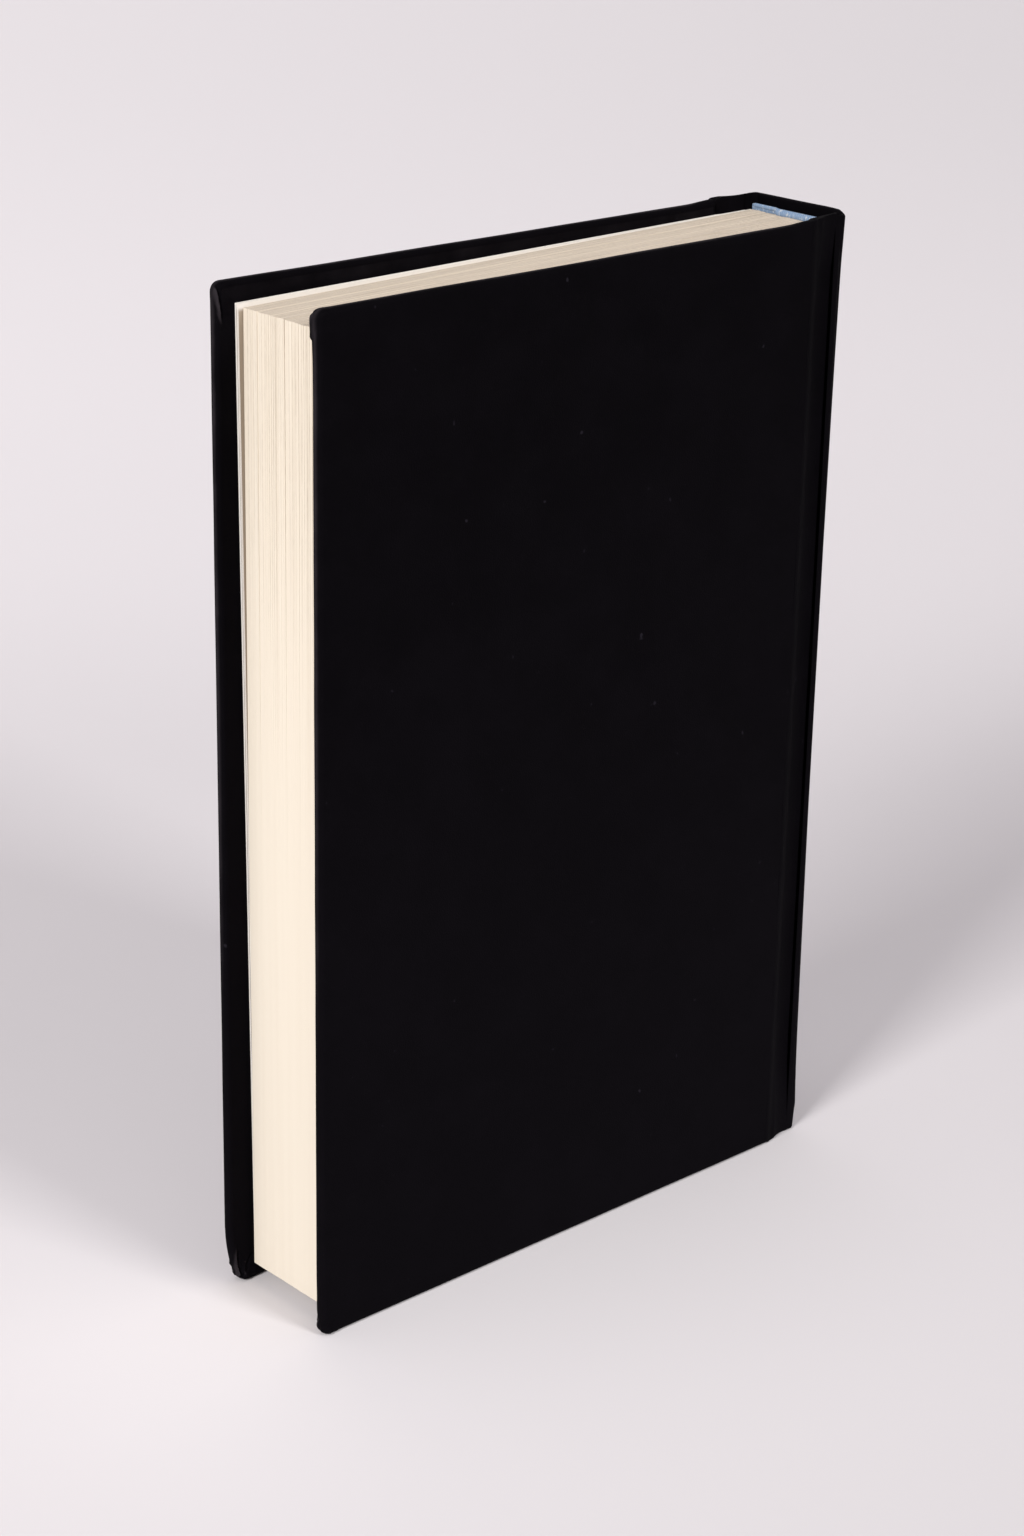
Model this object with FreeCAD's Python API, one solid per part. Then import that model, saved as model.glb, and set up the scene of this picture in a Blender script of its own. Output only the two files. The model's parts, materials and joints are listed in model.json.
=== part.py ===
"""A case-bound book that stands closed on its tail.

Working axes, in millimetres: u runs from the covers' fore edge to the spine,
v from the back cover's outer face to the front cover, and z up from the floor.
The last step centres the whole book on the origin, with its tail on z = 0.
"""
import math
import os

import FreeCAD
import Part

# The covers
board_height = 236.0
cover_width = 146.2          # from a cover's fore edge to its back edge
board_thickness = 2.2        # the grey board alone
cloth = 0.3                  # covering material
paper = 0.15                 # end paper
glue = 0.02                  # layer between two glued pieces
edge_radius = 1.2            # roundness of the wrapped edges
corner_radius = 2.4          # roundness of a cover's fore corners, seen from its face
turn_in = 15.0               # covering turned over onto the inside
mitre_slit = 0.15            # gap between two turn-ins at a corner
tuck_length = 6.9            # doubled cloth beside each fore corner
tuck_width = 2.9             # how far in from the fore edge the doubled cloth reaches
tuck_rise = 0.4              # how far it stands proud, outwards and inwards
front_shift = 1.16           # the front cover sits this much further forward

# The block of leaves
block_gap = 0.1              # between a cover's inside and the leaves
joint_width = 9.6            # from a cover's back edge to the fold of its end paper
back_thickness = 27.6        # the block's thickness at its back
front_ajar_deg = 0.53        # the leaves fan a little towards the fore edge
text_fore = 5.0              # the leaves' fore edge, inside the covers' edge
text_square_fore = 5.7       # the covers' head above the leaves, at the fore edge
text_square_back = 2.8
text_tail_fore = 4.1
text_tail_back = 4.6
front_end_leaves = 1.3       # thickness of the white leaves at each side
back_end_leaves = 0.8
gathering_steps = (0.05, 0.3, 0.1, 0.4, 0.15, 0.3, 0.0, 0.35, 0.2, 0.45, 0.1, 0.25)
front_square_fore = 4.8      # the covers' head above the front end leaves
back_square_fore = 4.9
end_square_back = 2.9
front_tail = (4.3, 4.9)      # the end leaves' tail above the floor, fore and back
back_tail = (4.2, 4.8)
front_fore = (5.6, 3.5)      # the end leaves' fore edge, at tail and at head
back_fore = (5.2, 4.4)

# The spine
spine_lift = 0.25            # the spine strip's tail above the floor
spine_excess = 0.7           # the spine strip is this much longer than the boards
shoulder_radius = 2.0
groove_rest = 0.05           # the groove strip above the leaves' face
strip_gap = 0.3              # from the groove strip to a cover's back edge
hollow = 1.44                # from the block's back to the spine's turned-in cloth
inlay_thickness = 0.5
lining_thickness = 0.3
lining_inset = 9.0           # the lining ends this far short of head and tail
band_radius = 0.95
band_tape = 12.0             # the glued strip below each head band's bead
band_tape_thickness = 0.3

# Derived places
block_back = cover_width + joint_width
text_head_fore = board_height - text_square_fore
text_head_back = board_height - text_square_back
spine_height = board_height + spine_excess
cover_stack = cloth + glue + board_thickness + glue + cloth + glue + paper
turned_face = cover_stack - paper - glue
near_face = cover_stack + block_gap
ajar = math.tan(math.radians(front_ajar_deg))
far_face_back = near_face + back_thickness
spine_inside = block_back + hollow
inlay_inner = spine_inside + cloth + glue
inlay_outer = inlay_inner + inlay_thickness
spine_outer = inlay_outer + glue + cloth
spine_tail = spine_lift
spine_head = spine_lift + spine_height
beyond = 3.0 * (board_height + cover_width)

# Outlines of the end leaves: tail fore, head fore, head back, tail back
front_sheet = (
    (front_fore[0], front_tail[0]),
    (front_fore[1], board_height - front_square_fore),
    (block_back, board_height - end_square_back),
    (block_back, front_tail[1]),
)
back_sheet = (
    (back_fore[0], back_tail[0]),
    (back_fore[1], board_height - back_square_fore),
    (block_back, board_height - end_square_back),
    (block_back, back_tail[1]),
)


def plan_prism(points, low, high):
    """A prism whose outline lies in the plan, given as (u, v) points."""
    corners = [FreeCAD.Vector(u, v, low) for u, v in points]
    corners.append(corners[0])
    face = Part.Face(Part.makePolygon(corners))
    return face.extrude(FreeCAD.Vector(0, 0, high - low))


def side_prism(points, near, far):
    """A prism whose outline lies in the side view, given as (u, z) points."""
    corners = [FreeCAD.Vector(u, near, z) for u, z in points]
    corners.append(corners[0])
    face = Part.Face(Part.makePolygon(corners))
    return face.extrude(FreeCAD.Vector(0, far - near, 0))


def end_prism(points, start, end):
    """A prism whose outline lies across the book, given as (v, z) points."""
    corners = [FreeCAD.Vector(start, v, z) for v, z in points]
    corners.append(corners[0])
    face = Part.Face(Part.makePolygon(corners))
    return face.extrude(FreeCAD.Vector(end - start, 0, 0))


def block(u0, u1, v0, v1, z0, z1):
    """A box between two corners."""
    return Part.makeBox(u1 - u0, v1 - v0, z1 - z0, FreeCAD.Vector(u0, v0, z0))


def cover_solid(inset, inner_face):
    """A cover's outline as a solid, drawn in on all sides, with its edges rounded.

    The fore corners are round seen from the face and the back corners are square.
    The faces lie at v = inset and at the inner face.
    """
    low = inset
    back = cover_width - inset
    high = board_height - inset
    body = block(low, back, inset, inner_face, low, high)
    fore_corners = [
        edge for edge in body.Edges
        if edge.BoundBox.XMax < low + 0.001 and edge.BoundBox.ZLength < 0.001
    ]
    body = body.makeFillet(corner_radius - inset, fore_corners)
    rims = [edge for edge in body.Edges if edge.BoundBox.YLength < 0.001]
    return body.makeFillet(edge_radius - inset, rims)


def far_face(u):
    """Where the leaves' front face lies at a distance from the fore edge."""
    return far_face_back + (block_back - u) * ajar


def leaf_slice(outline, near_part, far_part):
    """Leaves between two shares of the block's thickness, cut to an outline.

    A share is a pair: the distance at the back edge and at the covers' fore edge.
    """
    shape = plan_prism(
        (
            (0.0, near_part[1]),
            (block_back, near_part[0]),
            (block_back, far_part[0]),
            (0.0, far_part[1]),
        ),
        0.0,
        board_height,
    )
    return shape.common(side_prism(outline, 0.0, beyond))


def share(distance_near=None, distance_far=None):
    """A plane parallel to one face of the block, as back and fore distances."""
    if distance_far is None:
        return (near_face + distance_near, near_face + distance_near)
    return (far_face(block_back) - distance_far, far_face(0.0) - distance_far)


def make_text_block():
    """The gathered leaves, whose gatherings step a little at head and fore edge."""
    near = share(distance_near=back_end_leaves + glue)
    far = share(distance_far=front_end_leaves + glue)
    count = len(gathering_steps)
    slices = []
    for index, step in enumerate(gathering_steps):
        start = index / count
        end = (index + 1) / count
        outline = (
            (text_fore + step, text_tail_fore + 0.5 * step),
            (text_fore + step, text_head_fore - 0.6 * step),
            (block_back, text_head_back - 0.4 * step),
            (block_back, text_tail_back + 0.3 * step),
        )
        low = [a + (b - a) * start for a, b in zip(near, far)]
        high = [a + (b - a) * end for a, b in zip(near, far)]
        slices.append(leaf_slice(outline, low, high))
    return slices[0].multiFuse(slices[1:]).removeSplitter()


def make_end_leaves(outline, near, middle, far, inner_is_far):
    """The white end leaves: the outer ones full size, the inner ones a little less."""
    small = (
        (outline[0][0] + 0.25, outline[0][1] + 0.1),
        (outline[1][0] + 0.45, outline[1][1] - 0.3),
        (outline[2][0], outline[2][1] - 0.1),
        (outline[3][0], outline[3][1] + 0.1),
    )
    first = leaf_slice(outline if inner_is_far else small, near, middle)
    second = leaf_slice(small if inner_is_far else outline, middle, far)
    return first.fuse(second).removeSplitter()


def make_lining():
    """The strip of open cloth and paper glued down the block's back."""
    return block(
        block_back + glue,
        block_back + glue + lining_thickness,
        near_face + 0.2,
        far_face_back - 0.2,
        text_tail_back + lining_inset,
        text_head_back - lining_inset,
    )


def make_band(head):
    """A head band: a bead over the leaves' edge and a tape glued behind it."""
    near = near_face + 0.5
    far = far_face_back - 0.5
    centre_u = block_back + glue + lining_thickness
    if head:
        centre_z = text_head_back + 0.2 + band_radius
        tape = (centre_z - band_tape, centre_z)
    else:
        centre_z = text_tail_back - 0.2 - band_radius
        tape = (centre_z, centre_z + band_tape)
    bead = Part.makeCylinder(
        band_radius,
        far - near,
        FreeCAD.Vector(centre_u, near, centre_z),
        FreeCAD.Vector(0, 1, 0),
    )
    start = block_back + glue + lining_thickness + glue
    strip = block(start, start + band_tape_thickness, near, far, tape[0], tape[1])
    return bead.fuse(strip).removeSplitter()


def spine_outline(inset):
    """The spine strip's plan outline, drawn in from the cloth's outer face."""
    near = near_face - groove_rest - cloth + inset
    far_back = far_face_back + groove_rest + cloth - inset
    radius = shoulder_radius - inset
    back = spine_outer - inset
    near_end = cover_width + strip_gap
    far_end = cover_width - front_shift + strip_gap
    far_fore = far_back + (block_back - far_end) * ajar
    turn = math.sqrt(0.5) * radius
    vector = FreeCAD.Vector
    near_in = vector(near_end, near, 0)
    near_turn = vector(back - radius, near, 0)
    near_mid = vector(back - radius + turn, near + radius - turn, 0)
    near_out = vector(back, near + radius, 0)
    far_out = vector(back, far_back - radius, 0)
    far_mid = vector(back - radius + turn, far_back - radius + turn, 0)
    far_turn = vector(back - radius, far_back, 0)
    far_in = vector(far_end, far_fore, 0)
    edges = [
        Part.makeLine(near_in, near_turn),
        Part.Arc(near_turn, near_mid, near_out).toShape(),
        Part.makeLine(near_out, far_out),
        Part.Arc(far_out, far_mid, far_turn).toShape(),
        Part.makeLine(far_turn, far_in),
        Part.makeLine(far_in, near_in),
    ]
    return Part.Face(Part.Wire(edges))


def make_spine_covering():
    """The covering over the spine and both grooves, turned in at head and tail."""
    upward = FreeCAD.Vector(0, 0, spine_height)
    outer = spine_outline(0.0).extrude(upward)
    inner = spine_outline(cloth).extrude(upward)
    strip = outer.cut(inner)
    near = near_face + 1.2
    far = far_face_back - 1.2
    for low, high, cap in (
        (0.0, turn_in, 0.0),
        (spine_height - turn_in, spine_height, spine_height - cloth),
    ):
        fold = block(spine_inside, spine_inside + cloth, near, far, low, high)
        over = block(spine_inside, spine_outer - 0.5 * cloth, near, far, cap, cap + cloth)
        strip = strip.fuse(fold).fuse(over)
    # The open side between the two groove strips stays open
    strip = strip.cut(
        block(0.0, block_back - 1.0, near_face, far_face_back - 0.05, -1.0, beyond)
    )
    strip.translate(FreeCAD.Vector(0, 0, spine_tail))
    return strip.removeSplitter()


def make_inlay():
    """The card strip that stiffens the spine."""
    return block(
        inlay_inner,
        inlay_outer,
        near_face + 1.3,
        far_face_back - 1.3,
        spine_tail + cloth + glue,
        spine_head - cloth - glue,
    )


def make_board():
    """A cover's grey board, its outer side towards v = 0."""
    inset = cloth + glue
    return cover_solid(inset, inset + board_thickness)


def make_tuck(base, way):
    """The doubled cloth of one fore corner, folded under the fore edge's turn-in."""
    outline = (
        (edge_radius, 0.6 * edge_radius),
        (-tuck_rise, 0.8 * edge_radius),
        (-tuck_rise, turned_face - 0.5),
        (0.5, turned_face + tuck_rise),
        (tuck_width, turned_face + tuck_rise),
        (tuck_width, turned_face - 0.5 * cloth),
        (edge_radius, turned_face - edge_radius),
    )
    ends = sorted((base + way * 0.55 * corner_radius, base + way * tuck_length))
    return plan_prism(outline, ends[0], ends[1])


def make_covering():
    """A cover's covering: outer face, wrapped edges, turn-ins and mitred corners."""
    shell = cover_solid(0.0, turned_face)
    cavity = cover_solid(cloth, turned_face - cloth)
    window = block(
        turn_in,
        cover_width - cloth - 0.9,
        turned_face - cloth - 0.5,
        turned_face + 5.0,
        turn_in,
        board_height - turn_in,
    )
    corners = ((0.0, 1.0), (board_height, -1.0))
    for base, way in corners:
        shell = shell.fuse(make_tuck(base, way))
    shell = shell.cut(cavity).cut(window)
    half = mitre_slit * math.sqrt(0.5)
    start = corner_radius + 0.7
    end = turn_in + 1.0
    for base, way in corners:
        slit = side_prism(
            (
                (start + half, base + way * (start - half)),
                (end + half, base + way * (end - half)),
                (end - half, base + way * (end + half)),
                (start - half, base + way * (start + half)),
            ),
            turned_face - cloth - 0.1,
            turned_face + 1.0,
        )
        shell = shell.cut(slit)
    return shell.removeSplitter()


def make_pastedown(outline, shift):
    """The end paper glued inside a cover, which steps down inside the turn-ins."""
    back = cover_width - cloth - 0.1
    seat = cloth + glue + board_thickness + glue
    points = (
        (outline[0][0] + shift, outline[0][1]),
        (outline[1][0] + shift, outline[1][1]),
        (back, outline[2][1] - 0.1),
        (back, outline[3][1] + 0.1),
    )
    sheet = side_prism(points, seat, cover_stack)
    over_turn_ins = side_prism(points, seat - 1.0, cover_stack - paper)
    lap_end = cover_width - cloth - 0.9
    window = block(
        turn_in + glue,
        lap_end - glue,
        seat - 2.0,
        cover_stack + 2.0,
        turn_in + glue,
        board_height - turn_in - glue,
    )
    over_turn_ins = over_turn_ins.cut(window)
    step = glue + 0.2
    recess = block(
        turn_in + step,
        lap_end - step,
        seat + paper,
        cover_stack + 2.0,
        turn_in + step,
        board_height - turn_in - step,
    )
    return sheet.cut(over_turn_ins).cut(recess).removeSplitter()


def to_front(shape):
    """Turns a cover's piece over and lays it on the front of the block."""
    moved = shape.mirror(FreeCAD.Vector(0, 0, 0), FreeCAD.Vector(0, 1, 0))
    moved.translate(FreeCAD.Vector(-front_shift, far_face_back + near_face, 0))
    moved.rotate(
        FreeCAD.Vector(block_back, far_face_back, 0),
        FreeCAD.Vector(0, 0, 1),
        -front_ajar_deg,
    )
    return moved


front_inner = 0.55
pieces = {
    "text_block": make_text_block(),
    "front_end_leaves": make_end_leaves(
        front_sheet,
        share(distance_far=front_end_leaves),
        share(distance_far=front_inner),
        share(distance_far=0.0),
        False,
    ),
    "back_end_leaves": make_end_leaves(
        back_sheet,
        share(distance_near=0.0),
        share(distance_near=0.4),
        share(distance_near=back_end_leaves),
        True,
    ),
    "spine_lining": make_lining(),
    "head_band": make_band(True),
    "tail_band": make_band(False),
    "spine_inlay": make_inlay(),
    "spine_covering": make_spine_covering(),
    "back_board": make_board(),
    "back_covering": make_covering(),
    "back_pastedown": make_pastedown(back_sheet, 0.0),
    "front_board": to_front(make_board()),
    "front_covering": to_front(make_covering()),
    "front_pastedown": to_front(make_pastedown(front_sheet, front_shift)),
}

# Centre the book and stand it on its tail
everything = Part.makeCompound(list(pieces.values()))
bounds = everything.optimalBoundingBox(False, False)
move = FreeCAD.Vector(
    -0.5 * (bounds.XMin + bounds.XMax),
    -0.5 * (bounds.YMin + bounds.YMax),
    -bounds.ZMin,
)
os.makedirs("parts", exist_ok=True)
for name, shape in pieces.items():
    shape.translate(move)
    solids = shape.Solids
    whole = solids[0] if len(solids) == 1 else shape
    whole.exportStep("parts/" + name + ".step")
    print(name, len(solids), "solid", whole.isValid(), round(whole.Volume / 1000.0, 2), "cc")
print("overall", round(bounds.XLength, 3), round(bounds.YLength, 3), round(bounds.ZLength, 3))
print("back hinge", round(block_back + move.x, 4), round(near_face + move.y, 4))
print("front hinge", round(block_back + move.x, 4), round(far_face_back + move.y, 4))
print("move", round(move.x, 4), round(move.y, 4), round(move.z, 4))
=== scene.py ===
"""A closed hardback book that stands on its tail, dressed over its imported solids.

Measures inside the functions are in millimetres: u from the back cover's fore
edge to the spine, v from the back cover's outer face to the front cover, and z
up from the floor. place() turns them into the row frame in metres.
"""
import json
import math
import random

import bmesh
import bpy
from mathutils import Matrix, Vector, noise


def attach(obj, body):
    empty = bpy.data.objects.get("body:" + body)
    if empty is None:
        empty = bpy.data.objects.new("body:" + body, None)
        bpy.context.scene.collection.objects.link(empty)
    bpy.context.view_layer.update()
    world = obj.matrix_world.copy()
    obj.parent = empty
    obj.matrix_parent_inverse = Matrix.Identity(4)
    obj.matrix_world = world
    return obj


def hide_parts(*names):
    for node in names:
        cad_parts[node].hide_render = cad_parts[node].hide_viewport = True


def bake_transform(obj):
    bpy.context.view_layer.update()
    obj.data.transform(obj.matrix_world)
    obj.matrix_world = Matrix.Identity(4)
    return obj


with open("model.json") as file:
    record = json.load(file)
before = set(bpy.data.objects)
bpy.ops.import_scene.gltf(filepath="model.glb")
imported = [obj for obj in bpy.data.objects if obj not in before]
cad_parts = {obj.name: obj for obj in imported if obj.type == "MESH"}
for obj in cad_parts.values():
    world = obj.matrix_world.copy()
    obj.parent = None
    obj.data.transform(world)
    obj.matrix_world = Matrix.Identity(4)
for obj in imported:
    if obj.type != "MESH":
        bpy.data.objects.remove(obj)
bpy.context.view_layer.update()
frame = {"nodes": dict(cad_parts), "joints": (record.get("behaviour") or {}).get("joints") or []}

FOLDS = {joint["name"]: joint["pos_m"] for joint in frame["joints"]}

bl_info = {
    "name": "Hardback book",
    "version": (1, 0, 0),
    "blender": (4, 5, 0),
    "location": "3D View > Sidebar > Book",
    "description": "Builds the case, leaves, head bands and stage of a hardback book",
    "category": "Object",
}

FOLD_U = 155.8        # the leaves' back edge, where the end papers fold
NEAR_FACE = 3.11      # the leaves' face towards the back cover
FAR_FACE = 30.71      # the leaves' face towards the front cover, at the fold
FRONT_AJAR = math.radians(0.53)
FRONT_SHIFT = 1.16
ORIGIN_X = FOLDS["back_cover_hinge"][0] * 1000.0 - FOLD_U
ORIGIN_Y = FOLDS["back_cover_hinge"][1] * 1000.0 - NEAR_FACE


# Places

def place(u, v, z):
    """A point of the book in the row frame, in metres."""
    return ((ORIGIN_X + u) / 1000.0, (ORIGIN_Y + v) / 1000.0, z / 1000.0)


def on_back(u, depth, z):
    """A point of the back cover, whose depth runs from its outer face inwards."""
    return place(u, depth, z)


def on_front(u, depth, z):
    """The same point on the front cover, which stands half a degree ajar."""
    along = u - FRONT_SHIFT - FOLD_U
    out = NEAR_FACE - depth
    cosine, sine = math.cos(FRONT_AJAR), math.sin(FRONT_AJAR)
    return place(
        FOLD_U + along * cosine + out * sine,
        FAR_FACE - along * sine + out * cosine,
        z,
    )


def far_line(u):
    """Where the leaves' front face lies."""
    return FAR_FACE + (FOLD_U - u) * math.tan(FRONT_AJAR)


def ease(value, low, high):
    """A smooth step from 0 at low to 1 at high."""
    share = min(1.0, max(0.0, (value - low) / (high - low)))
    return share * share * (3.0 - 2.0 * share)


def mix(a, b, share):
    """A value between two others."""
    return a + (b - a) * share


def scaled(colour, share):
    """A colour made darker or paler."""
    return tuple(value * share for value in colour)


def ripple(u, v, z, seed=0.0):
    """Smooth noise between -1 and 1."""
    return noise.noise(Vector((u, v + seed * 17.3, z + seed * 5.1)))


def stations(low, high, fine, coarse, border):
    """Places from low to high that lie closer together within a border at each end."""
    places = [low]
    while places[-1] < high - 1e-6:
        reach = min(places[-1] - low, high - places[-1])
        step = fine if reach < border else coarse
        places.append(places[-1] + step)
    places[-1] = high
    if places[-1] - places[-2] < 0.3 * fine:
        del places[-2]
    return places


# Meshes

class Shape:
    """The points, faces and point values of one piece."""

    def __init__(self):
        self.points = []
        self.faces = []
        self.values = {}

    def point(self, where, **values):
        """Adds a point with its values and returns its number."""
        self.points.append(where)
        for name, value in values.items():
            self.values.setdefault(name, {})[len(self.points) - 1] = value
        return len(self.points) - 1

    def loft(self, first, second, closed=True):
        """Joins two rows of points with quads."""
        count = len(first)
        for k in range(count if closed else count - 1):
            after = (k + 1) % count
            self.faces.append((first[k], first[after], second[after], second[k]))

    def loft_all(self, rows, closed=True):
        """Joins each row of points to the next."""
        for first, second in zip(rows, rows[1:]):
            self.loft(first, second, closed)

    def cap(self, row, flip=False):
        """Closes a row of points with one face."""
        self.faces.append(tuple(reversed(row)) if flip else tuple(row))

    def build(self, name, finish, smooth_angle=None):
        """Makes the mesh object, with doubled points merged."""
        mesh = bpy.data.meshes.new(name)
        mesh.from_pydata(self.points, [], self.faces)
        for value_name, held in self.values.items():
            layer = mesh.attributes.new(value_name, "FLOAT", "POINT")
            layer.data.foreach_set("value", [held.get(k, 0.0) for k in range(len(self.points))])
        work = bmesh.new()
        work.from_mesh(mesh)
        bmesh.ops.remove_doubles(work, verts=work.verts, dist=2e-7)
        bmesh.ops.dissolve_degenerate(work, edges=work.edges, dist=1e-8)
        bmesh.ops.recalc_face_normals(work, faces=work.faces)
        work.to_mesh(mesh)
        work.free()
        mesh.materials.append(finish)
        piece = bpy.data.objects.new(name, mesh)
        bpy.context.scene.collection.objects.link(piece)
        if smooth_angle is not None:
            mesh.shade_smooth()
            mesh.set_sharp_from_angle(angle=math.radians(smooth_angle))
        return piece


# Finishes

class Wire:
    """The output of a node. Sums on it add Math nodes."""

    def __init__(self, finish, socket):
        self.finish = finish
        self.socket = socket

    def sum(self, operation, *values):
        """Adds one Math node."""
        return self.finish.node("ShaderNodeMath", {"operation": operation}, dict(enumerate(values)))

    def __add__(self, other):
        return self.sum("ADD", self, other)

    def __radd__(self, other):
        return self.sum("ADD", other, self)

    def __sub__(self, other):
        return self.sum("SUBTRACT", self, other)

    def __rsub__(self, other):
        return self.sum("SUBTRACT", other, self)

    def __mul__(self, other):
        return self.sum("MULTIPLY", self, other)

    def __rmul__(self, other):
        return self.sum("MULTIPLY", other, self)


class Finish:
    """A material that is built from expressions on wires."""

    def __init__(self, name):
        self.material = bpy.data.materials.new(name)
        self.material.use_nodes = True
        self.tree = self.material.node_tree
        self.tree.nodes.clear()
        self.shader = self.tree.nodes.new("ShaderNodeBsdfPrincipled")
        output = self.tree.nodes.new("ShaderNodeOutputMaterial")
        self.tree.links.new(self.shader.outputs["BSDF"], output.inputs["Surface"])

    def put(self, socket, value):
        """Sets a socket to a value or links it to a wire."""
        if isinstance(value, Wire):
            self.tree.links.new(value.socket, socket)
        elif hasattr(socket.default_value, "__len__") and len(socket.default_value) == 4:
            socket.default_value = tuple(value) + (1.0,) * (4 - len(value))
        else:
            socket.default_value = value

    def node(self, kind, settings=None, sockets=None, out=0):
        """Adds a node: its type, its settings, then its sockets' values or links."""
        made = self.tree.nodes.new(kind)
        for name, value in (settings or {}).items():
            setattr(made, name, value)
        for name, value in (sockets or {}).items():
            self.put(made.inputs[name], value)
        return Wire(self, made.outputs[out])

    def shade(self, **values):
        """Sets sockets of the surface shader, with _ for a space in a name."""
        for name, value in values.items():
            self.put(self.shader.inputs[name.replace("_", " ")], value)
        return self

    def spot(self):
        """The point on the piece, in metres."""
        return self.node("ShaderNodeTexCoord", out="Object")

    def value(self, name):
        """A value that the mesh holds at its points."""
        return self.node("ShaderNodeAttribute", {"attribute_name": name}, out="Fac")

    def parts(self, vector):
        """The three parts of a vector."""
        first = self.node("ShaderNodeSeparateXYZ", None, {"Vector": vector})
        outputs = first.socket.node.outputs
        return [Wire(self, outputs[axis]) for axis in ("X", "Y", "Z")]

    def vector(self, x, y, z):
        """A vector from three values."""
        return self.node("ShaderNodeCombineXYZ", None, {"X": x, "Y": y, "Z": z})

    def clouds(self, vector, scale, detail=3.0, roughness=0.55):
        """Smooth noise between 0 and 1."""
        return self.node(
            "ShaderNodeTexNoise",
            None,
            {"Vector": vector, "Scale": scale, "Detail": detail, "Roughness": roughness},
        )

    def level(self, wire, low, high, start=0.0, end=1.0):
        """A value moved smoothly from one range to another and held at its ends."""
        return self.node(
            "ShaderNodeMapRange",
            {"interpolation_type": "SMOOTHSTEP"},
            {"Value": wire, "From Min": low, "From Max": high, "To Min": start, "To Max": end},
        )

    def blend(self, factor, first, second):
        """A colour between two others."""
        made = self.tree.nodes.new("ShaderNodeMix")
        made.data_type = "RGBA"
        self.put(made.inputs["Factor"], factor)
        self.put(made.inputs[6], first)
        self.put(made.inputs[7], second)
        return Wire(self, made.outputs[2])

    def bump(self, height, strength, distance):
        """A normal from a height."""
        return self.node(
            "ShaderNodeBump",
            None,
            {"Strength": strength, "Distance": distance, "Height": height},
            out="Normal",
        )


def finish_covering(colours):
    """Black leather-look covering: fine grain, faint mottling, rubbed edges with painted sheen, and a painted
    floor reflection low down.
    """
    finish = Finish("black_covering")
    spot = finish.spot()
    # the wear attribute holds real rubbing together with painted highlights: sheen on edges and raised folds,
    # and painted light on the head turn-ins
    wear = finish.value("wear")
    grain = finish.clouds(spot, 2600.0, 2.0, 0.6)
    pores = finish.node(
        "ShaderNodeTexVoronoi",
        {"feature": "DISTANCE_TO_EDGE"},
        {"Vector": spot, "Scale": 1500.0},
        out="Distance",
    )
    mottle = finish.clouds(spot, 90.0, 4.0, 0.6)
    patches = finish.clouds(spot, 14.0, 2.0)
    specks = finish.level(finish.clouds(spot, 420.0, 1.0, 0.4), 0.80, 0.84)
    dark = tuple(colours.covering)
    # a paler copy of the black, for the mottling and for a painted reflection of the floor
    paler_mottle_and_reflection = scaled(dark, 1.9)
    height = finish.parts(spot)[2]
    cloudy = 0.35 * finish.level(mottle * 0.6 + patches * 0.4, 0.38, 0.66)
    # painted reflection of the floor: the covering is drawn paler towards the bottom
    shade = finish.blend(cloudy + finish.level(height, -0.02, 0.24, 0.65, 0.05), dark, paler_mottle_and_reflection)
    # rubbed edges with a painted sheen, from the wear attribute
    edge = finish.level(wear * (0.4 + 0.8 * mottle), 0.3, 1.1)
    shade = finish.blend(edge, shade, tuple(colours.covering_rubbed_and_sheen))
    shade = finish.blend(specks * 0.2, shade, (0.05, 0.045, 0.06))
    finish.shade(
        Base_Color=shade,
        Roughness=0.52 + 0.14 * mottle - 0.12 * edge,
        Specular_IOR_Level=0.01,
        Normal=finish.bump(grain * 0.5 + finish.level(pores, 0.0, 0.25) * 0.5, 0.35, 0.00006),
    )
    return finish.material


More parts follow.
